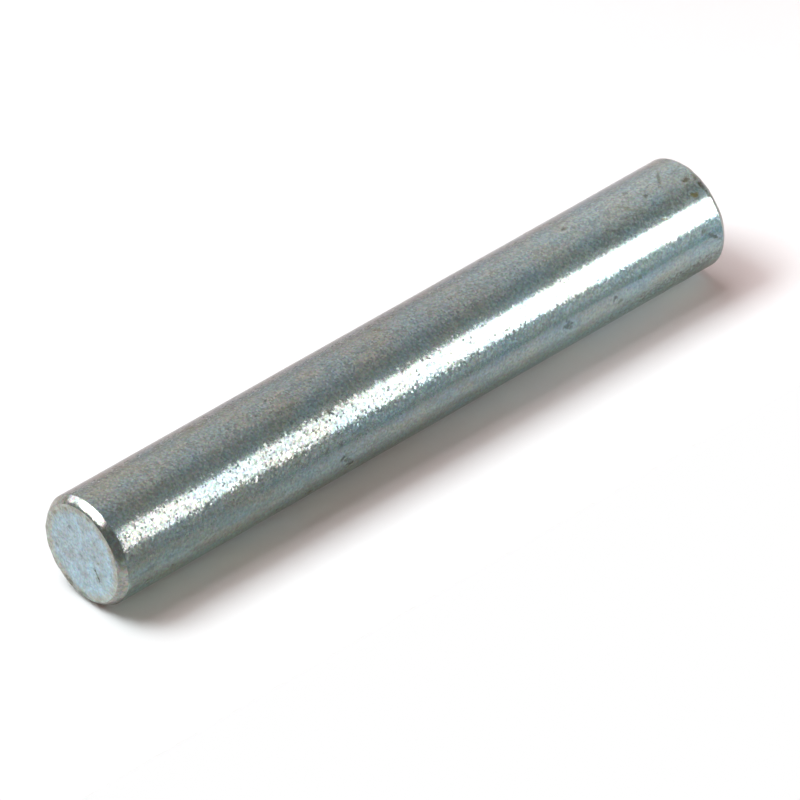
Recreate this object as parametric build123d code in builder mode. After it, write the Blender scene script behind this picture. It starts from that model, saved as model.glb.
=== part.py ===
"""Brake pad pin: a plain parallel steel pin, chamfered at both ends.

The brake pads hang and slide on its shank, and its ends sit in the two walls of the caliper.
It goes in with the end that has the longer chamfer first. It is turned from one bar, so it is
one solid.

Frame, in millimetres: the pin stands on its lower end face, with the origin at the middle of
that face and its axis along +Z. The end that goes in first is the upper one.
"""

import os

from build123d import *

# Driving sizes
pin_diameter = 6.0  # the shank, which passes through the pads and the caliper
pin_length = 40.0  # over both end faces
lead_chamfer_run = 0.45  # chamfer of the upper end: its length along the axis
lead_chamfer_drop = 0.30  # and how far it comes in from the shank, on the radius
foot_chamfer_run = 0.27  # the smaller chamfer of the lower end, where the pin was cut off
foot_chamfer_drop = 0.18
corner_radius = 0.08  # what tumbling leaves on the two corners of each chamfer

# Worked out from them
pin_radius = pin_diameter / 2
lower_face_radius = pin_radius - foot_chamfer_drop
upper_face_radius = pin_radius - lead_chamfer_drop
shank_top = pin_length - lead_chamfer_run

with BuildPart() as pad_pin:
    # Half of the lengthwise section, from the axis outwards, turned about the axis as on a lathe
    with BuildSketch(Plane.XZ):
        with BuildLine():
            Polyline(
                (0, 0),
                (lower_face_radius, 0),
                (pin_radius, foot_chamfer_run),
                (pin_radius, shank_top),
                (upper_face_radius, pin_length),
                (0, pin_length),
                close=True,
            )
        make_face()
    revolve(axis=Axis.Z)

    # The corners where each chamfer meets the shank and its end face
    chamfer_corners = pad_pin.edges().filter_by(GeomType.CIRCLE)
    fillet(chamfer_corners, radius=corner_radius)

pad_pin.part.label = "pad_pin"

os.makedirs("parts", exist_ok=True)
export_step(pad_pin.part, "parts/pad_pin.step")
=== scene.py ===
from math import cos, exp, hypot, pi, radians, sin, tan
from random import Random

import bmesh
import bpy
from mathutils import Matrix, Vector, kdtree, noise


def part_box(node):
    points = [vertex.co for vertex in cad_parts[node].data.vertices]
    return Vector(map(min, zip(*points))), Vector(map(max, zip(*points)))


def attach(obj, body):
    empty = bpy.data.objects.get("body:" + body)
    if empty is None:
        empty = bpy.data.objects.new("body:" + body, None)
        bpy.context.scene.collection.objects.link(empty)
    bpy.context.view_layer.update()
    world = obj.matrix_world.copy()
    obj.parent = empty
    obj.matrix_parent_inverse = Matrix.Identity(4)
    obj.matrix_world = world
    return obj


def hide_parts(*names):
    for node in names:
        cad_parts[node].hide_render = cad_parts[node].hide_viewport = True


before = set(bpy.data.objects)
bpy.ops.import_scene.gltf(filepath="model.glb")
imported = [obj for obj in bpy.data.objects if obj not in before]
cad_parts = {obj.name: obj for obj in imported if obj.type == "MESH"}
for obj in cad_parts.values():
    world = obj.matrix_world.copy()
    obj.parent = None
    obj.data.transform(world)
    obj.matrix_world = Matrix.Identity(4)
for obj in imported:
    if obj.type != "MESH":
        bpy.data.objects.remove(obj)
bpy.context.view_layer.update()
pinLow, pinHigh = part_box("pad_pin")
pinRadius = (pinHigh.x - pinLow.x) / 2
pinLength = pinHigh.z - pinLow.z
pinMiddle = Vector((0, 0, pinLength / 2))
mm = 0.001
print("frame loaded: pin of", round(2 * pinRadius / mm, 2), "x", round(pinLength / mm, 2), "mm")

cameraView = {
    "aimSide": -1.155 * mm,  # the point it looks at is this far beside the middle of the pin
    "distance": 726.84 * mm,
    "elevation": 31.004,  # degrees above the pin's own horizon
    "roll": -119.605,  # turns the upper end to the lower left
    "lens": 663.8,
    "clip": (0.05, 10),
}


def makeCamera(view):
    tilt = Matrix.Rotation(radians(90 - view["elevation"]), 4, "X")
    turn = tilt @ Matrix.Rotation(radians(view["roll"]), 4, "Z")
    aim = pinMiddle + Vector((view["aimSide"], 0, 0))
    back = turn.to_3x3() @ Vector((0, 0, 1))
    data = bpy.data.cameras.new("camera")
    data.lens = view["lens"]
    data.clip_start, data.clip_end = view["clip"]
    camera = bpy.data.objects.new("camera", data)
    camera.matrix_world = Matrix.Translation(aim + back * view["distance"]) @ turn
    bpy.context.scene.collection.objects.link(camera)
    bpy.context.scene.camera = camera
    return turn.to_3x3()


cameraTurn = makeCamera(cameraView)
print("camera placed")

# The directions of the pin as it seems to lie. Level is across the view, so that the card looks level.
along = Vector((0, 0, -1))  # from the near end to the far one
rise = along.cross(cameraTurn @ Vector((-1, 0, 0))).normalized()  # straight up from the card
if rise.dot(cameraTurn @ Vector((0, 1, 0))) < 0:
    rise.negate()
front = rise.cross(along)  # across the pin, towards the camera
if front.dot(cameraTurn @ Vector((0, 0, 1))) < 0:
    front.negate()
seenTurn = 47.8  # degrees round the pin to the middle of the half that the camera sees


def outwardAt(turn):
    # straight out from the axis, at so many degrees from the camera's side of the card, up and over
    return front * cos(radians(turn)) + rise * sin(radians(turn))


# Short ways to add shader nodes. Place is where a node stands in the editor. An input that is another
# node's output is joined, and any other is set.
def addNode(tree, kind, place, inputs=None, **settings):
    node = tree.nodes.new(kind)
    node.location = place
    for name, value in settings.items():
        setattr(node, name, value)
    for socket, value in (inputs or {}).items():
        if isinstance(value, bpy.types.NodeSocket):
            tree.links.new(value, node.inputs[socket])
        else:
            node.inputs[socket].default_value = value
    return node


def addMath(tree, place, operation, *operands):
    return addNode(tree, "ShaderNodeMath", place, dict(enumerate(operands)), operation=operation).outputs[0]


def addVectorMath(tree, place, operation, *operands, **named):
    inputs = {**dict(enumerate(operands)), **named}
    node = addNode(tree, "ShaderNodeVectorMath", place, inputs, operation=operation)
    return node.outputs["Value" if operation in ("DOT_PRODUCT", "LENGTH") else "Vector"]


def addRange(tree, place, value, fromRange=(0, 1), toRange=(0, 1), smooth=False):
    names = ("From Min", "From Max", "To Min", "To Max")
    inputs = {"Value": value, **dict(zip(names, (*fromRange, *toRange)))}
    kind = "SMOOTHSTEP" if smooth else "LINEAR"
    return addNode(tree, "ShaderNodeMapRange", place, inputs, interpolation_type=kind).outputs[0]


def addBlend(tree, place, factor, under, over, blendType="MULTIPLY"):
    inputs = {"Factor": factor, "A": under, "B": over}
    node = addNode(tree, "ShaderNodeMix", place, inputs, data_type="RGBA", blend_type=blendType)
    return node.outputs["Result"]


def addRamp(tree, place, value, steps, interpolation="LINEAR"):
    node = addNode(tree, "ShaderNodeValToRGB", place, {"Fac": value})
    node.color_ramp.interpolation = interpolation
    elements = node.color_ramp.elements
    while len(elements) < len(steps):
        elements.new(0.5)
    for element, (position, colour) in zip(elements, steps.items()):
        element.position = position
        element.color = (*colour, 1)
    return node.outputs["Color"]


def addShaderMix(tree, place, factor, first, second):
    return addNode(tree, "ShaderNodeMixShader", place, {0: factor, 1: first, 2: second}).outputs[0]


cardShape = {
    "frontEdge": 3.7,  # in pin radii from the line where the pin touches
    "backEdge": 60,
    "endEdge": 60,
    "paper": (0.86, 0.85, 0.84, 1),
    "seenWhite": (1.0, 1.0, 1.0, 1),  # as the background, to the camera and in the metal
    "gap": (0.45 * mm, 0.95 * mm),  # metal nearer to it than this doesn't show it, or its side would be black
}


def makePaper(shape):
    material = bpy.data.materials.new("paleCard")
    material.use_nodes = True
    tree = material.node_tree
    tree.nodes.clear()
    ray = addNode(tree, "ShaderNodeLightPath", (-700, 0)).outputs
    behind = addNode(tree, "ShaderNodeNewGeometry", (-100, 300)).outputs["Backfacing"]
    # white where the camera or the metal sees it, paper where light falls on it
    cameraOrGloss = addMath(tree, (-500, 0), "MAXIMUM", ray["Is Camera Ray"], ray["Is Glossy Ray"])
    seen = addMath(tree, (-300, 0), "MAXIMUM", cameraOrGloss, ray["Is Transmission Ray"])
    colour = addBlend(tree, (-100, 0), seen, shape["paper"], shape["seenWhite"], "MIX")
    paper = addNode(tree, "ShaderNodeBsdfDiffuse", (150, 100), {"Color": colour}).outputs[0]
    clear = addNode(tree, "ShaderNodeBsdfTransparent", (150, -100)).outputs[0]
    # clear from below, and to a direct reflection that starts close by
    closeBy = addRange(tree, (-500, 500), ray["Ray Length"], shape["gap"], (1, 0), smooth=True)
    direct = addMath(tree, (-500, 700), "LESS_THAN", ray["Diffuse Depth"], 0.5)
    directGloss = addMath(tree, (-300, 700), "MULTIPLY", ray["Is Glossy Ray"], direct)
    inGap = addMath(tree, (-100, 500), "MULTIPLY", closeBy, directGloss)
    unseen = addMath(tree, (150, 400), "MAXIMUM", inGap, behind)
    surface = addShaderMix(tree, (400, 0), unseen, paper, clear)
    addNode(tree, "ShaderNodeOutputMaterial", (600, 0), {"Surface": surface})
    return material


def makeCard(shape):
    bm = bmesh.new()
    corners = [
        (-shape["endEdge"], shape["frontEdge"]),
        (shape["endEdge"], shape["frontEdge"]),
        (shape["endEdge"], -shape["backEdge"]),
        (-shape["endEdge"], -shape["backEdge"]),
    ]
    touching = pinMiddle - rise * pinRadius
    bm.faces.new([bm.verts.new(touching + (along * a + front * f) * pinRadius) for a, f in corners])
    bm.normal_update()
    for face in bm.faces:
        if face.normal.dot(rise) < 0:
            face.normal_flip()
    mesh = bpy.data.meshes.new("card")
    bm.to_mesh(mesh)
    bm.free()
    mesh.materials.append(makePaper(shape))
    card = bpy.data.objects.new("card", mesh)
    bpy.context.scene.collection.objects.link(card)


makeCard(cardShape)
print("card laid under the pin")

roomLight = {
    # what the metal sees, from the camera's side (0) to the white background beyond the pin (1)
    "walls": {0.00: (0.30, 0.33, 0.33), 0.20: (0.30, 0.33, 0.33), 0.36: (0.56, 0.64, 0.64),
              0.62: (0.56, 0.64, 0.64), 0.85: (1.0, 1.0, 1.0)},
    "table": (0.60, 0.66, 0.66, 1),  # below the level of the card
    "tableEdge": (-0.10, 0.03),  # where it gives way to the walls
    "glow": (0.184, 0.080, 0.060, 1),  # what lights the card
    "background": (1, 1, 1, 1),
}
lamps = {
    # level is its radiance; turn goes round the pin from the camera's side of the card, up and over, and
    # lean towards the far end; long and wide are what it covers as seen from the pin, all in degrees
    "stripLight": {"level": 6.0, "turn": 31.1, "lean": 43.5, "distance": 370 * mm,
                   "long": 34.5, "wide": 42.7, "tint": (0.98, 1.0, 1.0), "paper": False, "metal": True},
    "frontGlow": {"level": 0.15, "turn": 4.0, "lean": 30.0, "distance": 420 * mm,
                  "long": 60.0, "wide": 20.0, "tint": (0.92, 1.0, 1.0), "paper": False, "metal": True},
    "rearBox": {"level": 0.28, "turn": 147.0, "lean": 30.0, "distance": 420 * mm,
                "long": 60.0, "wide": 28.0, "tint": (1.0, 1.0, 0.99), "paper": False, "metal": True},
    "mainLight": {"level": 11.9, "turn": 115.8, "lean": -25.9, "distance": 300 * mm,
                  "long": 27.4, "wide": 21.9, "tint": (0.81, 0.97, 1.0), "paper": True, "metal": False},
    "softBox": {"level": 6.0, "turn": 113.0, "lean": -26.0, "distance": 310 * mm,
                "long": 44.0, "wide": 58.0, "tint": (1.0, 1.0, 1.0), "paper": False, "metal": True},
    "nearGlow": {"level": 2.8, "turn": 154.0, "lean": -12.0, "distance": 400 * mm,
                 "long": 30.0, "wide": 24.0, "tint": (0.90, 0.88, 1.0), "paper": False, "metal": True},
    "wideFill": {"level": 3.3, "turn": 110.5, "lean": -10.3, "distance": 300 * mm,
                 "long": 43.7, "wide": 38.4, "tint": (1.0, 0.98, 1.0), "paper": True, "metal": False},
    "shadowFill": {"level": 1.83, "turn": 28.4, "lean": 53.4, "distance": 49.3 * mm,
                   "long": 40.0, "wide": 40.0, "tint": (1.0, 0.92, 0.945), "paper": True, "metal": False},
}


def makeWorld(room):
    world = bpy.data.worlds.new("studio")
    bpy.context.scene.world = world
    world.use_nodes = True
    tree = world.node_tree
    tree.nodes.clear()
    away = cameraTurn @ Vector((0, 0, -1))
    away = (away - rise * away.dot(rise)).normalized()  # level, away from the camera
    ray = addNode(tree, "ShaderNodeLightPath", (-200, 550)).outputs
    direction = addNode(tree, "ShaderNodeTexCoord", (-1100, 0)).outputs["Generated"]
    lean = addVectorMath(tree, (-900, 100), "DOT_PRODUCT", direction, away)
    place = addRange(tree, (-700, 100), lean, (-1, 1))
    walls = addRamp(tree, (-500, 100), place, room["walls"], "EASE")
    level = addVectorMath(tree, (-900, -200), "DOT_PRODUCT", direction, rise)
    aboveTable = addRange(tree, (-700, -200), level, room["tableEdge"], smooth=True)
    surroundings = addBlend(tree, (-200, 0), aboveTable, room["table"], walls, "MIX")

    def background(place, colour):
        return addNode(tree, "ShaderNodeBackground", place, {"Color": colour}).outputs[0]

    inMetal, onCard = background((0, 0), surroundings), background((0, 150), room["glow"])
    glossOrGlass = addMath(tree, (0, 450), "MAXIMUM", ray["Is Glossy Ray"], ray["Is Transmission Ray"])
    unseen = addShaderMix(tree, (250, 0), glossOrGlass, onCard, inMetal)
    white = background((250, -150), room["background"])
    surface = addShaderMix(tree, (450, 0), ray["Is Camera Ray"], unseen, white)
    addNode(tree, "ShaderNodeOutputWorld", (650, 0), {"Surface": surface})


def makeLamp(name, lamp):
    lean = radians(lamp["lean"])
    towards = outwardAt(lamp["turn"]) * cos(lean) + along * sin(lean)
    wide = 2 * lamp["distance"] * cos(lean) * tan(radians(lamp["wide"] / 2))
    long = 2 * lamp["distance"] * tan(radians(lamp["long"] / 2))
    data = bpy.data.lights.new(name, "AREA")
    data.shape = "RECTANGLE"
    data.size, data.size_y = long, wide
    data.color = lamp["tint"]
    data.energy = lamp["level"] * pi * long * wide
    across = towards.cross(along).normalized()
    lengthways = across.cross(towards).normalized()
    if Matrix((lengthways, across, towards)).determinant() < 0:
        lengthways.negate()
    facing = Matrix((lengthways, across, towards)).transposed().to_4x4()
    source = bpy.data.objects.new(name, data)
    source.matrix_world = Matrix.Translation(pinMiddle + towards * lamp["distance"]) @ facing
    source.visible_camera = False
    source.visible_diffuse = lamp["paper"]
    source.visible_glossy = lamp["metal"]
    bpy.context.scene.collection.objects.link(source)


makeWorld(roomLight)
for lampName, lampValues in lamps.items():
    makeLamp(lampName, lampValues)
bpy.context.scene.view_settings.view_transform = "Standard"
print("studio lit with", len(lamps), "lamps")

pinShape = {
    "leadRun": 0.45 * mm,  # chamfer of the upper end
    "leadDrop": 0.30 * mm,
    "footRun": 0.27 * mm,  # chamfer of the lower end
    "footDrop": 0.18 * mm,
    "corner": 0.08 * mm,
    "aroundSteps": 240,
    "shankRings": 290,
    "faceRings": 22,
    "chamferRings": 4,
    "leastDepth": 0.004 * mm,  # keeps it just inside the solid
    "waveDepth": 0.012 * mm,  # how far the drawn surface wanders inwards
    "waveLength": 2.5 * mm,
    "waveSlowness": 0.6,  # along the pin, so that they are longer that way
    "edgeWear": 0.035 * mm,  # how much the two end edges are knocked back, unevenly
    "edgeWidth": 0.09 * mm,
    "wearLength": 0.7 * mm,
    "wearLevel": (0.1, 0.55, 0.9),  # the least of it, its mean and its swing
    "cornerSteps": 3,
    "mergeWithin": 0.0005 * mm,
}
markKinds = {
    # tone is multiplied in, rough is added, depth is how far it is sunk, ragged how broken its border is
    "rust": {"tone": (0.42, 0.37, 0.30, 1), "rough": 0.20, "metal": 0.85, "depth": 0.012 * mm, "ragged": 1.2},
    "ochre": {"tone": (0.58, 0.49, 0.27, 1), "rough": 0.15, "metal": 0.9, "depth": 0.006 * mm, "ragged": 1.2},
    # stains, and also painted shade where a stain mark ends a highlight at the rim
    "stainAndShade": {"tone": (0.68, 0.63, 0.51, 1), "rough": 0.06, "metal": 1.0, "depth": 0.0, "ragged": 1.3},
    # dirt, and also painted shade where a dirt mark ends a highlight or darkens a reflection
    "dirtAndShade": {"tone": (0.48, 0.47, 0.42, 1), "rough": 0.15, "metal": 0.8, "depth": 0.010 * mm, "ragged": 1.3},
    "scratch": {"tone": (0.55, 0.54, 0.46, 1), "rough": 0.05, "metal": 1, "depth": 0.006 * mm, "ragged": 1},
    # darker mottling of the plating, and painted shade where it is laid on a highlight
    "mottleAndShade": {"tone": (0.50, 0.50, 0.49, 1), "rough": 0.0, "metal": 1.0, "depth": 0.0, "ragged": 4.5},
}
# Each mark: millimetres from the upper end, degrees round the pin from the camera's side of the card, half
# its length and width in millimetres, slant from the pin's own direction, kind and strength.
# On a face the first number is millimetres from the middle.
pinMarks = {
    "zincShank": [
        (39.15, 75, 0.30, 0.16, 12, "rust", 1.0), (38.95, 57, 0.26, 0.15, -10, "ochre", 1.0),
        (39.70, 61, 0.21, 0.36, 0, "rust", 1.0), (39.70, 73, 0.14, 0.28, 0, "stainAndShade", 0.8),
        (36.75, 81, 0.19, 0.16, 0, "rust", 0.75), (31.95, 95.5, 0.17, 0.14, 0, "rust", 0.6),
        (31.90, 103, 0.12, 0.50, 0, "stainAndShade", 0.35), (32.35, 91, 0.14, 0.12, 0, "dirtAndShade", 0.4),
        (35.42, 78, 0.50, 0.13, -54, "stainAndShade", 0.65), (36.10, 97, 0.18, 0.15, 0, "dirtAndShade", 0.7),
        (38.12, 91.5, 0.70, 0.10, 52, "scratch", 0.85), (37.75, 82, 0.12, 0.11, 0, "stainAndShade", 0.6),
        (39.15, 90.5, 0.48, 0.07, 16, "stainAndShade", 0.6), (36.72, 51, 0.24, 0.06, -32, "ochre", 0.8),
        (39.00, 13, 0.70, 0.11, -40, "dirtAndShade", 0.85), (38.55, 21, 0.15, 0.13, 0, "dirtAndShade", 0.9),
        (34.15, 12.5, 0.19, 0.15, 0, "ochre", 0.6), (32.40, 4, 0.19, 0.16, 0, "dirtAndShade", 0.7),
        (32.75, -2, 0.18, 0.15, 10, "dirtAndShade", 0.55), (37.45, 3, 0.16, 0.05, -50, "scratch", 0.4),
        (29.25, 5, 0.27, 0.21, 0, "dirtAndShade", 0.9), (29.20, 9, 0.06, 0.22, 0, "dirtAndShade", 0.5),
        (29.42, 1, 0.12, 0.18, 0, "dirtAndShade", 0.5), (22.80, -13, 1.00, 0.22, -12, "stainAndShade", 0.35),
        (16.90, 83, 0.13, 0.12, 0, "rust", 0.5), (13.10, 85, 0.17, 0.12, 0, "stainAndShade", 0.5),
        (17.60, 12, 0.40, 0.13, -30, "stainAndShade", 0.15), (14.65, -7, 0.32, 0.13, -50, "dirtAndShade", 0.8),
        (14.90, -14, 0.28, 0.17, 0, "dirtAndShade", 1.0), (14.35, -2, 0.20, 0.13, 40, "dirtAndShade", 1.0),
        (14.32, 50, 0.24, 0.24, 60, "dirtAndShade", 1.0), (20.80, 49, 0.12, 0.10, 0, "stainAndShade", 0.5),
        (12.00, 33, 0.22, 0.07, -10, "dirtAndShade", 0.8), (12.45, 31, 0.16, 0.08, 0, "dirtAndShade", 0.8),
        (13.15, 38, 0.15, 0.06, -20, "dirtAndShade", 0.8), (21.72, 33, 0.09, 0.07, 0, "dirtAndShade", 1.0),
        (25.60, 33, 0.10, 0.06, -15, "dirtAndShade", 1.0), (24.85, 34.5, 0.07, 0.06, 0, "dirtAndShade", 0.8),
        (24.42, 48.5, 0.14, 0.07, 0, "dirtAndShade", 0.9), (19.80, 101, 0.22, 0.19, 0, "stainAndShade", 1.0),
        (10.30, -25, 0.35, 0.20, -40, "stainAndShade", 0.4), (12.40, -27, 0.30, 0.20, -40, "stainAndShade", 0.75),
        (3.40, -16, 0.20, 0.13, 0, "dirtAndShade", 0.5), (4.20, 20.5, 0.15, 0.12, -45, "stainAndShade", 0.8),
        (5.90, 111, 0.35, 0.30, 45, "stainAndShade", 0.35), (8.10, 115, 0.40, 0.28, 45, "stainAndShade", 0.45),
        (6.20, 80, 0.15, 0.12, 0, "stainAndShade", 0.4), (1.80, -20, 0.32, 0.14, -45, "dirtAndShade", 0.6),
        # the dark ring of marks at the lower rim is partly dirt and partly painted shade that ends the
        # highlight short of the edge, with rounded ends; the long dirt band at 39.50 is painted shade that
        # darkens the low band's reflection near the lower end
        (39.66, 51, 0.14, 0.20, 0, "dirtAndShade", 1.0), (39.64, 29, 0.14, 0.20, 0, "dirtAndShade", 0.8),
        (39.74, 40, 0.07, 0.60, 0, "stainAndShade", 1.0), (39.50, -27, 8.00, 1.10, 0, "dirtAndShade", 0.7),
        # darker mottling laid along the highlight and its upper edge: partly the plating's mottle, partly
        # painted shade that breaks up and dims the highlight
        (36.00, 59, 4.00, 0.36, 0, "mottleAndShade", 0.5), (28.50, 59, 6.00, 0.28, 0, "mottleAndShade", 0.12),
        (12.50, 40, 3.00, 0.55, 0, "mottleAndShade", 0.6),
        (0.77, 21, 0.13, 0.12, 0, "dirtAndShade", 0.6), (1.45, 66, 0.18, 0.12, 20, "dirtAndShade", 0.6),
        (14.29, 15, 0.17, 0.12, 30, "dirtAndShade", 0.7), (13.39, 16, 0.20, 0.13, 20, "dirtAndShade", 0.6),
        (15.19, 18, 0.15, 0.09, 0, "dirtAndShade", 0.6), (14.64, 85, 0.12, 0.09, 0, "dirtAndShade", 0.8),
        (22.79, 14, 0.18, 0.12, -20, "dirtAndShade", 0.5), (27.22, 63, 0.12, 0.09, 0, "rust", 0.6),
        (11.97, 91, 0.09, 0.08, 0, "dirtAndShade", 0.9), (4.26, 68, 0.13, 0.09, 30, "dirtAndShade", 0.7),
        (10.91, 81, 0.10, 0.08, 0, "dirtAndShade", 0.8), (17.79, 87, 0.13, 0.09, -30, "dirtAndShade", 0.7),
        (34.01, 64, 0.20, 0.12, 0, "dirtAndShade", 0.4), (27.50, 121, 0.24, 0.14, 20, "stainAndShade", 0.6),
    ],
    "zincChamfer": [
        (0.20, 119, 0.20, 0.35, 0, "stainAndShade", 0.6), (0.15, 152, 0.20, 0.40, 0, "stainAndShade", 0.5),
        (0.25, -12, 0.10, 0.25, 0, "stainAndShade", 0.4), (0.22, 24, 0.16, 0.22, 0, "stainAndShade", 0.6),
        (0.30, -34, 0.12, 0.30, 0, "dirtAndShade", 0.3), (0.10, 100, 0.12, 0.22, 0, "dirtAndShade", 0.6),
        (0.15, 60, 0.20, 0.12, 0, "stainAndShade", 0.4), (0.25, 250, 0.20, 0.40, 0, "dirtAndShade", 0.5),
    ],
    "zincFace": [
        (1.31, -29, 0.38, 0.075, -30, "scratch", 1.0), (1.08, -22, 0.16, 0.11, -30, "dirtAndShade", 1.0),
        (1.55, -34, 0.15, 0.10, -30, "dirtAndShade", 0.9), (2.46, -112, 0.42, 0.16, 90, "dirtAndShade", 0.9),
        (1.44, 128, 0.24, 0.11, 90, "dirtAndShade", 0.7), (1.90, -164, 0.16, 0.11, 0, "dirtAndShade", 0.5),
        (0.11, -107, 0.18, 0.10, 60, "dirtAndShade", 0.45), (2.19, -1, 0.15, 0.10, 80, "dirtAndShade", 0.5),
        (1.10, 23, 0.18, 0.09, 30, "dirtAndShade", 0.5), (1.24, 5, 0.16, 0.08, 40, "stainAndShade", 0.7),
        (2.48, -88, 0.28, 0.12, 90, "dirtAndShade", 0.6), (2.50, 79, 0.26, 0.10, 90, "dirtAndShade", 0.5),
        (2.41, 143, 0.20, 0.11, 90, "dirtAndShade", 0.5), (2.42, 118, 0.15, 0.12, 30, "stainAndShade", 0.7),
        (2.24, 104, 0.13, 0.10, 0, "stainAndShade", 0.6), (2.52, 131, 0.13, 0.12, 0, "stainAndShade", 0.7),
        (2.28, -112, 0.36, 0.14, 90, "stainAndShade", 0.5), (2.45, 160, 0.20, 0.10, 90, "stainAndShade", 0.6),
    ],
    # painted shade: the long dark band near the lower end, as on the seen half
    "zincUnder": [(39.50, -27, 8.00, 1.10, 0, "dirtAndShade", 0.7)],
}
strayMarks = {  # for the side that rests on the card
    "seed": 5,
    "count": 24,
    "places": (1, 39),
    "turns": (145, 310),
    "halfLengths": (0.08, 0.30),
    "halfWidths": (0.3, 0.9),  # as a share of the half length
    "slants": (-60, 60),
    "kinds": ["rust", "stainAndShade", "dirtAndShade", "scratch"],
    "strengths": (0.4, 0.9),
}


def turnBar(shape):
    # half of the lengthwise section, with its corners rounded, turned about the axis
    bm = bmesh.new()
    points = [
        (0, 0),
        (pinRadius - shape["footDrop"], 0),
        (pinRadius, shape["footRun"]),
        (pinRadius, pinLength - shape["leadRun"]),
        (pinRadius - shape["leadDrop"], pinLength),
        (0, pinLength),
    ]
    section = [bm.verts.new((x, 0, z)) for x, z in points]
    for a, b in zip(section, section[1:]):
        bm.edges.new((a, b))
    bmesh.ops.bevel(bm, geom=section[1:-1], offset=shape["corner"] / 2, offset_type="OFFSET",
                    segments=shape["cornerSteps"], profile=0.5, affect="VERTICES", material=-1)

    def runs(edge):
        a, b = edge.verts
        return abs(a.co.x - b.co.x), abs(a.co.z - b.co.z)

    longEdges = [e for e in bm.edges if runs(e)[1] > pinLength / 2]
    faceEdges = [e for e in bm.edges if runs(e)[0] > pinRadius / 2]
    others = [e for e in bm.edges if e not in longEdges and e not in faceEdges]
    slopeEdges = [e for e in others if e.calc_length() > shape["corner"]]
    bmesh.ops.subdivide_edges(bm, edges=longEdges, cuts=shape["shankRings"])
    bmesh.ops.subdivide_edges(bm, edges=faceEdges, cuts=shape["faceRings"])
    bmesh.ops.subdivide_edges(bm, edges=slopeEdges, cuts=shape["chamferRings"])
    bmesh.ops.spin(bm, geom=bm.verts[:] + bm.edges[:], cent=(0, 0, 0), axis=(0, 0, 1), angle=2 * pi,
                   steps=shape["aroundSteps"], use_merge=True)
    bmesh.ops.remove_doubles(bm, verts=bm.verts[:], dist=shape["mergeWithin"])
    bmesh.ops.recalc_face_normals(bm, faces=bm.faces[:])
    return bm


def wavesAt(shape, point):
    # the drawn bar isn't quite true: long shallow hollows, always inwards
    spot = Vector((point.x, point.y, point.z * shape["waveSlowness"])) / shape["waveLength"]
    return shape["leastDepth"] + shape["waveDepth"] * max(0, 0.5 + 0.5 * noise.noise(spot))


def endWearAt(shape, point):
    # the edge between each end face and its chamfer is knocked back a little, more here than there
    top = point.z > pinLength / 2
    edgeRadius = pinRadius - shape["leadDrop"] if top else pinRadius - shape["footDrop"]
    endHeight = pinLength if top else 0
    off = hypot(hypot(point.x, point.y) - edgeRadius, point.z - endHeight) / shape["edgeWidth"]
    if off > 3:  # nothing of it is left there
        return 0
    least, mean, swing = shape["wearLevel"]
    uneven = mean + swing * noise.noise(point / shape["wearLength"])
    return shape["edgeWear"] * max(least, uneven) * exp(-off * off)


def wearBar(bm, shape):
    for vert in bm.verts:
        depth, sink = wavesAt(shape, vert.co), endWearAt(shape, vert.co)
        vert.co.x *= 1 - (depth + sink) / pinRadius
        vert.co.y *= 1 - (depth + sink) / pinRadius
        vert.co.z += sink if vert.co.z < pinLength / 2 else -sink


def markFrame(piece, mark):
    # where a mark is, and its own directions: lengthways, across and outwards
    place, slant = mark[0] * mm, radians(mark[4])
    radial, around = outwardAt(mark[1]), outwardAt(mark[1] + 90)
    if piece == "zincFace":
        centre, outward, main = Vector((0, 0, pinLength)) + radial * place, -along, radial
    else:
        surfaceRadius = pinRadius - pinShape["leadDrop"] / 2 if piece == "zincChamfer" else pinRadius
        centre, outward, main = Vector((0, 0, pinLength - place)) + radial * surfaceRadius, radial, along
    lengthways = main * cos(slant) + around * sin(slant)
    across = outward.cross(lengthways)
    return centre, Matrix((lengthways, across, outward)).transposed()


def addStrayMarks(values):
    draw = Random(values["seed"])
    for _ in range(values["count"]):
        half = draw.uniform(*values["halfLengths"])
        place, turn = draw.uniform(*values["places"]), draw.uniform(*values["turns"])
        halfWidth, slant = half * draw.uniform(*values["halfWidths"]), draw.uniform(*values["slants"])
        kind, strength = draw.choice(values["kinds"]), draw.uniform(*values["strengths"])
        pinMarks["zincUnder"].append((place, turn, half, halfWidth, slant, kind, strength))


def sinkMarks(bm):
    # each mark that has depth is a hollow, deepest in its middle
    bm.verts.ensure_lookup_table()
    near = kdtree.KDTree(len(bm.verts))
    for vert in bm.verts:
        near.insert(vert.co, vert.index)
    near.balance()
    for piece, marks in pinMarks.items():
        for mark in marks:
            _, _, halfLength, halfWidth, _, kind, strength = mark
            centre, turn = markFrame(piece, mark)
            outward = turn @ Vector((0, 0, 1))
            long, wide = halfLength * mm, halfWidth * mm
            for _, index, _ in near.find_range(centre, 2 * (long + wide)):
                vert = bm.verts[index]
                away = turn.transposed() @ (vert.co - centre)
                reach = (away.x / long) ** 2 + (away.y / wide) ** 2
                if away.z > -pinRadius:  # on the mark's own side
                    vert.co -= outward * markKinds[kind]["depth"] * strength * exp(-reach)


def shareOutFinishes(bm, shape):
    numbers = {name: number for number, name in enumerate(zincFinishes)}
    for face in bm.faces:
        face.smooth = True
        middle = face.calc_center_median()
        name = "zincShank"
        if abs(face.normal.z) > 0.95:  # it faces along the pin
            name = "zincFace"
        elif middle.z > pinLength - shape["leadRun"] or middle.z < shape["footRun"]:
            name = "zincChamfer"
        elif middle.dot(outwardAt(seenTurn)) < 0:
            name = "zincUnder"
        face.material_index = numbers[name]


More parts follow.
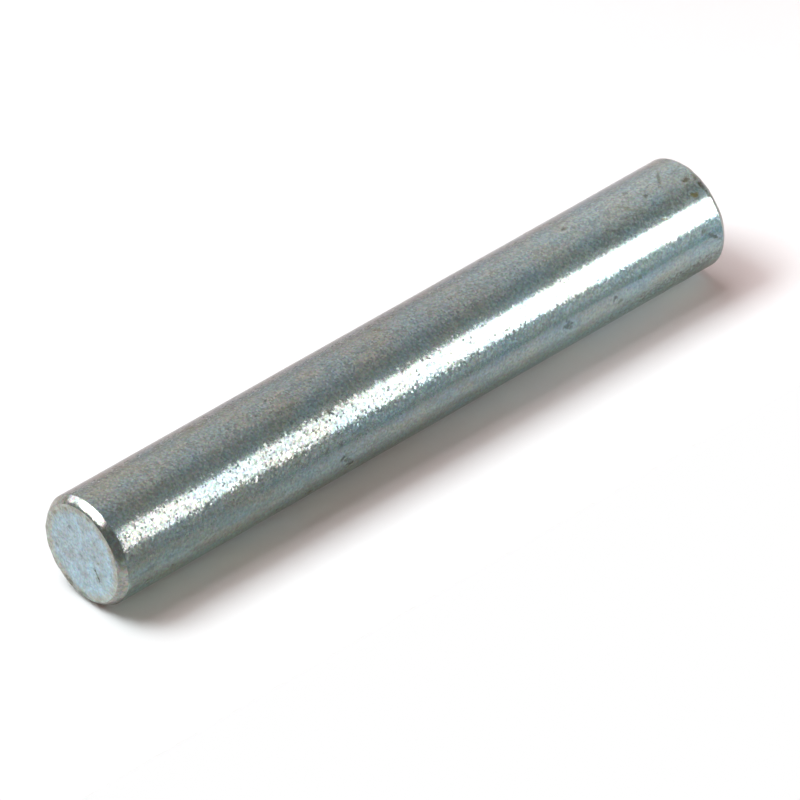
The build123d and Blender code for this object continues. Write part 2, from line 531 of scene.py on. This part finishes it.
def makePin(shape):
    bm = turnBar(shape)
    wearBar(bm, shape)
    sinkMarks(bm)
    shareOutFinishes(bm, shape)
    mesh = bpy.data.meshes.new("zincPin")
    bm.to_mesh(mesh)
    bm.free()
    triangles = sum(len(polygon.vertices) - 2 for polygon in mesh.polygons)
    print("  pin mesh:", len(mesh.vertices), "points,", triangles, "triangles")
    pin = bpy.data.objects.new("zincPin", mesh)
    bpy.context.scene.collection.objects.link(pin)
    return pin


driftTexture = {
    "stretch": (1, 1, 0.45),  # patches are longer along the pin
    "contrast": (0.30, 0.70),  # levels of the noise that are all teal and all brown
    "raggedSize": 0.16 * mm,
}
spotFade = (0.35, 1.25)  # a mark fades out between these, in its own half sizes from its centre
markThickness = 0.4 * mm  # a mark shows this far above and below its centre


def newGroup(name, inputs, outputs):
    tree = bpy.data.node_groups.new(name, "ShaderNodeTree")
    for way, sockets in (("INPUT", inputs), ("OUTPUT", outputs)):
        for socket, kind in sockets.items():
            tree.interface.new_socket(socket, in_out=way, socket_type="NodeSocket" + kind)
    return tree, addNode(tree, "NodeGroupInput", (-1200, 0)).outputs


def makeGrainGroup():
    # plated crystals: each cell tips the light its own way and has its own shade
    tree, given = newGroup("plateGrain", {"Place": "Vector", "Normal": "Vector", "Crystal Size": "Float",
                                          "Tip": "Float", "Shade": "Float", "Hue": "Float"},
                           {"Normal": "Vector", "Speckle": "Color"})
    fineness = addMath(tree, (-1000, -200), "DIVIDE", 1, given["Crystal Size"])
    texture = {"Vector": given["Place"], "Scale": fineness}
    cells = addNode(tree, "ShaderNodeTexVoronoi", (-800, 100), texture).outputs["Color"]
    spread = addVectorMath(tree, (-600, 100), "MULTIPLY_ADD", cells, (2, 2, 2), (-1, -1, -1))
    # most cells tip a little, a few tip a lot
    reach = addVectorMath(tree, (-400, 0), "DOT_PRODUCT", spread, spread)
    strength = addMath(tree, (-200, 0), "MULTIPLY", reach, given["Tip"])
    tipped = addVectorMath(tree, (0, 100), "SCALE", spread, Scale=strength)
    leaning = addVectorMath(tree, (200, 100), "ADD", given["Normal"], tipped)
    facing = addVectorMath(tree, (400, 100), "NORMALIZE", leaning)
    # each cell's shade, and a finer tint over it
    channel = addNode(tree, "ShaderNodeSeparateColor", (-600, -200), {0: cells}).outputs[0]
    darkest = addMath(tree, (-600, -400), "SUBTRACT", 1, given["Shade"])
    lightest = addMath(tree, (-600, -600), "ADD", 1, given["Shade"])
    cellShade = addRange(tree, (-300, -250), channel, toRange=(darkest, lightest))
    tint = addNode(tree, "ShaderNodeTexNoise", (-800, -800), {**texture, "Detail": 1}).outputs["Color"]
    tintSpread = addVectorMath(tree, (-600, -800), "SUBTRACT", tint, (0.5, 0.5, 0.5))
    tintScaled = addVectorMath(tree, (-400, -800), "SCALE", tintSpread, Scale=given["Hue"])
    tinted = addVectorMath(tree, (-200, -800), "ADD", tintScaled, (1, 1, 1))
    speckle = addVectorMath(tree, (100, -500), "SCALE", tinted, Scale=cellShade)
    addNode(tree, "NodeGroupOutput", (700, 0), {"Normal": facing, "Speckle": speckle})
    return tree


def makeDriftGroup(texture):
    # slow changes of tone over the plating, and a wobble that makes borders ragged
    tree, given = newGroup("toneDrift", {"Place": "Vector", "Patch Size": "Float", "Brown": "Color",
                                         "Teal": "Color"}, {"Tone": "Color", "Wobble": "Float"})
    place = given["Place"]
    coarseness = addMath(tree, (-1000, -200), "DIVIDE", 1, given["Patch Size"])
    drawnOut = {"Vector": place, "Scale": texture["stretch"]}
    stretched = addNode(tree, "ShaderNodeMapping", (-1000, 100), drawnOut).outputs[0]
    patchy = {"Vector": stretched, "Scale": coarseness, "Detail": 3, "Roughness": 0.6}
    patches = addNode(tree, "ShaderNodeTexNoise", (-800, 100), patchy).outputs["Fac"]
    browner = addRange(tree, (-600, 100), patches, texture["contrast"], smooth=True)
    tone = addBlend(tree, (-400, 100), browner, given["Teal"], given["Brown"], "MIX")
    fine = {"Vector": place, "Scale": 1 / texture["raggedSize"], "Detail": 3}
    ragged = addNode(tree, "ShaderNodeTexNoise", (-800, -300), fine).outputs["Fac"]
    wobble = addRange(tree, (-600, -300), ragged, toRange=(-1, 1))
    addNode(tree, "NodeGroupOutput", (-200, 0), {"Tone": tone, "Wobble": wobble})
    return tree


def makeSpotGroup():
    # one mark: a ragged oval, at its centre, turned and sized, laid over the ones before it
    tree, given = newGroup("markSpot", {"Place": "Vector", "Centre": "Vector", "Turn": "Vector",
                                        "Size": "Vector", "Wobble": "Float", "Strength": "Float",
                                        "Earlier Mask": "Float"}, {"Mask": "Float"})
    spotFrame = {"Vector": given["Place"], "Location": given["Centre"], "Rotation": given["Turn"],
                 "Scale": given["Size"]}
    local = addNode(tree, "ShaderNodeMapping", (-900, 100), spotFrame, vector_type="TEXTURE").outputs[0]
    reach = addVectorMath(tree, (-700, 100), "LENGTH", local)
    ragged = addMath(tree, (-500, 0), "ADD", reach, given["Wobble"])
    fade = addRange(tree, (-300, 0), ragged, spotFade, (given["Strength"], 0), smooth=True)
    mask = addMath(tree, (-100, 0), "MAXIMUM", fade, given["Earlier Mask"])
    addNode(tree, "NodeGroupOutput", (100, 0), {"Mask": mask})
    return tree


def makePaintedReflectionGroup(paintedTones):
    # painted reflections and shade: the lighter and darker bands that the card, the lamps and the room make
    # on the metal, laid into its colour round the shank, from the line below to the one above in the view
    tree, given = newGroup("paintedReflectionBands", {"Place": "Vector"}, {"Tone": "Color"})
    upwards = outwardAt(seenTurn + 90)
    side = addVectorMath(tree, (-1000, 100), "DOT_PRODUCT", given["Place"], upwards / pinRadius)
    across = addRange(tree, (-800, 100), side, (-1, 1))
    near = addRamp(tree, (-600, 200), across, paintedTones["near"])
    far = addRamp(tree, (-600, -50), across, paintedTones["far"])
    height = addNode(tree, "ShaderNodeSeparateXYZ", (-1000, -300), {0: given["Place"]}).outputs["Z"]
    farther = addRange(tree, (-800, -300), height, paintedTones["change"], smooth=True)
    tone = addBlend(tree, (-300, 100), farther, near, far, "MIX")
    full = addVectorMath(tree, (-100, 100), "SCALE", tone, Scale=paintedTones["scale"])
    addNode(tree, "NodeGroupOutput", (100, 0), {"Tone": full})
    return tree


paintedReflectionTones = {
    # painted reflections and shade, from the line below (0) to the one above (1) in the view, near the upper
    # end and near the lower one
    "near": {
        0.00: (0.53, 0.71, 0.68), 0.04: (0.63, 0.79, 0.79), 0.07: (0.49, 0.575, 0.57),
        0.12: (0.215, 0.26, 0.265), 0.18: (0.19, 0.215, 0.207), 0.24: (0.28, 0.29, 0.30),
        0.34: (0.273, 0.273, 0.28), 0.56: (0.28, 0.28, 0.28), 0.65: (0.28, 0.273, 0.28),
        0.74: (0.335, 0.335, 0.345), 0.80: (0.327, 0.327, 0.327), 0.88: (0.273, 0.277, 0.273),
        0.96: (0.293, 0.307, 0.303), 0.99: (0.28, 0.28, 0.28),
    },
    "far": {
        0.00: (0.39, 0.53, 0.525), 0.04: (0.525, 0.67, 0.665), 0.07: (0.453, 0.517, 0.513),
        0.12: (0.288, 0.317, 0.32), 0.18: (0.23, 0.262, 0.291), 0.21: (0.207, 0.253, 0.27),
        0.26: (0.346, 0.371, 0.398), 0.34: (0.28, 0.285, 0.29), 0.50: (0.28, 0.28, 0.28),
        0.56: (0.305, 0.31, 0.325), 0.60: (0.275, 0.28, 0.287), 0.65: (0.28, 0.273, 0.283),
        0.74: (0.317, 0.31, 0.317), 0.80: (0.303, 0.303, 0.306), 0.88: (0.267, 0.267, 0.273),
        0.96: (0.293, 0.30, 0.303), 0.99: (0.26, 0.277, 0.28),
    },
    "scale": 3,  # a ramp ends at 1, so the tones stand at a third of their value
    "change": (34 * mm, 22 * mm),  # heights between which one gives way to the other
}

grainGroup = makeGrainGroup()
driftGroup = makeDriftGroup(driftTexture)
spotGroup = makeSpotGroup()
paintedReflectionGroup = makePaintedReflectionGroup(paintedReflectionTones)

faceBorder = {
    "tone": (1.10, 0.93, 0.77, 1),
    "radii": (2.18 * mm, 2.44 * mm),  # between these it comes in
    "ragged": 0.40 * mm,
    "offset": 0.08 * mm,  # it is broader on one side, away from this turn
    "offsetTurn": 22,
}
zincFinishes = {
    "zincShank": {  # the half that is seen
        # the far colour is lighter and bluer than the near one: partly painted light, for the brighter
        # reflections that the lower end shows
        "near": (0.27, 0.294, 0.286, 1), "far": (0.348, 0.402, 0.402, 1), "edge": (0.87, 0.80, 0.81, 1),
        "roughNear": 0.20, "roughFar": 0.175, "tipNear": 0.036, "tipFar": 0.015,
        "shadeNear": 0.21, "shadeFar": 0.18, "hueNear": 0.66, "hueFar": 0.52, "crystal": 0.11 * mm,
        "patch": 1.1 * mm, "patchBrown": (1.072, 0.984, 0.896, 1), "patchTeal": (0.92, 1.0, 1.04, 1),
        "paintedReflections": True, "border": None,
    },
    "zincChamfer": {
        "near": (0.28, 0.285, 0.27, 1), "far": (0.24, 0.26, 0.26, 1), "edge": (1.0, 0.95, 0.94, 1),
        "roughNear": 0.20, "roughFar": 0.20, "tipNear": 0.02, "tipFar": 0.02,
        "shadeNear": 0.18, "shadeFar": 0.18, "hueNear": 0.7, "hueFar": 0.7, "crystal": 0.14 * mm,
        "patch": 0.45 * mm, "patchBrown": (1.04, 0.98, 0.90, 1), "patchTeal": (0.94, 1.01, 1.02, 1),
        "paintedReflections": False, "border": None,
    },
    "zincFace": {
        "near": (0.348, 0.428, 0.478, 1), "far": (0.34, 0.38, 0.40, 1), "edge": (1, 1, 1, 1),
        "roughNear": 0.28, "roughFar": 0.28, "tipNear": 0.025, "tipFar": 0.025,
        "shadeNear": 0.16, "shadeFar": 0.16, "hueNear": 0.55, "hueFar": 0.55, "crystal": 0.12 * mm,
        "patch": 0.65 * mm, "patchBrown": (0.89, 0.84, 0.78, 1), "patchTeal": (1.06, 1.16, 1.16, 1),
        "paintedReflections": False, "border": faceBorder,
    },
}
zincFinishes["zincUnder"] = zincFinishes["zincShank"]  # apart, because one shader holds only so many marks
nearFrom = 0.55 * pinLength  # from this height up, colour and grain are all as near the upper end; below it the colour turns lighter and bluer towards the lower end, partly as painted light


def addMarks(tree, piece, place, wobble):
    # one mask for each kind of mark
    masks, ragged = {}, {}
    for kind in {mark[5]: None for mark in pinMarks[piece]}:
        level = -600 - 40 * len(ragged)
        ragged[kind] = addMath(tree, (-1150, level), "MULTIPLY", wobble, markKinds[kind]["ragged"])
    for number, mark in enumerate(pinMarks[piece]):
        _, _, halfLength, halfWidth, _, kind, strength = mark
        centre, turn = markFrame(piece, mark)
        size = (halfLength * mm, halfWidth * mm, markThickness)
        inputs = {"Place": place, "Wobble": ragged[kind], "Centre": centre, "Turn": turn.to_euler(),
                  "Size": size, "Strength": strength, "Earlier Mask": masks.get(kind, 0)}
        spot = addNode(tree, "ShaderNodeGroup", (-900, -600 - 40 * number), inputs, node_tree=spotGroup)
        masks[kind] = spot.outputs["Mask"]
    return masks


def addBorder(tree, place, wobble, border):
    # how far a point of an end face is into its uneven border
    middle = outwardAt(border["offsetTurn"]) * border["offset"]
    flat = addVectorMath(tree, (-1400, 700), "MULTIPLY_ADD", place, (1, 1, 0), -middle)
    fromMiddle = addVectorMath(tree, (-1200, 700), "LENGTH", flat)
    uneven = addMath(tree, (-1000, 700), "MULTIPLY_ADD", wobble, border["ragged"], fromMiddle)
    return addRange(tree, (-800, 700), uneven, border["radii"], smooth=True)


def makeZinc(name, finish):
    material = bpy.data.materials.new(name)
    material.use_nodes = True
    tree = material.node_tree
    shader = tree.nodes["Principled BSDF"]
    place = addNode(tree, "ShaderNodeTexCoord", (-1800, 0)).outputs["Object"]
    normal = addNode(tree, "ShaderNodeNewGeometry", (-1800, -300)).outputs["Normal"]
    height = addNode(tree, "ShaderNodeSeparateXYZ", (-1600, 200), {0: place}).outputs["Z"]
    nearness = addRange(tree, (-1400, 200), height, (0, nearFrom), smooth=True)
    drifting = {"Place": place, "Patch Size": finish["patch"], "Brown": finish["patchBrown"],
                "Teal": finish["patchTeal"]}
    drift = addNode(tree, "ShaderNodeGroup", (-1400, -100), drifting, node_tree=driftGroup).outputs
    masks = addMarks(tree, name, place, drift["Wobble"])

    # the far end is cleaner and smoother than the near one
    changing = {}
    for row, value in enumerate(("rough", "tip", "shade", "hue")):
        reach = (finish[value + "Far"], finish[value + "Near"])
        changing[value] = addRange(tree, (-1200, -350 - 200 * row), nearness, toRange=reach)
    roughness, metallic = changing["rough"], 1
    for row, (kind, mask) in enumerate(masks.items()):
        level, values = -300 - 60 * row, markKinds[kind]
        roughness = addMath(tree, (-400, level), "MULTIPLY_ADD", mask, values["rough"], roughness)
        metallic = addMath(tree, (-250, level), "MULTIPLY_ADD", mask, values["metal"] - 1, metallic)
    crystals = {"Place": place, "Normal": normal, "Crystal Size": finish["crystal"],
                "Tip": changing["tip"], "Shade": changing["shade"], "Hue": changing["hue"]}
    grain = addNode(tree, "ShaderNodeGroup", (-600, -100), crystals, node_tree=grainGroup).outputs

    # towards the lower end the colour is lighter and bluer: partly painted light, for the brighter
    # reflections seen there
    colour = addBlend(tree, (-600, 300), nearness, finish["far"], finish["near"], "MIX")
    colour = addBlend(tree, (-450, 300), 1, colour, grain["Speckle"])
    colour = addBlend(tree, (-300, 300), 1, colour, drift["Tone"])
    # painted reflections and shade: colour bands round the shank that stand for what the metal reflects
    if finish["paintedReflections"]:
        paintedBands = addNode(tree, "ShaderNodeGroup", (-450, 550), {"Place": place}, node_tree=paintedReflectionGroup)
        colour = addBlend(tree, (-150, 300), 1, colour, paintedBands.outputs["Tone"])
    if finish["border"]:
        inBorder = addBorder(tree, place, drift["Wobble"], finish["border"])
        colour = addBlend(tree, (0, 300), inBorder, colour, finish["border"]["tone"])
    for row, (kind, mask) in enumerate(masks.items()):
        colour = addBlend(tree, (150 + 150 * row, 300), mask, colour, markKinds[kind]["tone"])
    shader.inputs["Specular Tint"].default_value = finish["edge"]
    for socket, source in (("Base Color", colour), ("Metallic", metallic), ("Roughness", roughness),
                           ("Normal", grain["Normal"])):
        tree.links.new(source, shader.inputs[socket])
    return material


addStrayMarks(strayMarks)
pin = makePin(pinShape)
for finishName, finishValues in zincFinishes.items():
    pin.data.materials.append(makeZinc(finishName, finishValues))
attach(pin, "root")
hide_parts("pad_pin")
print("pin turned and plated")
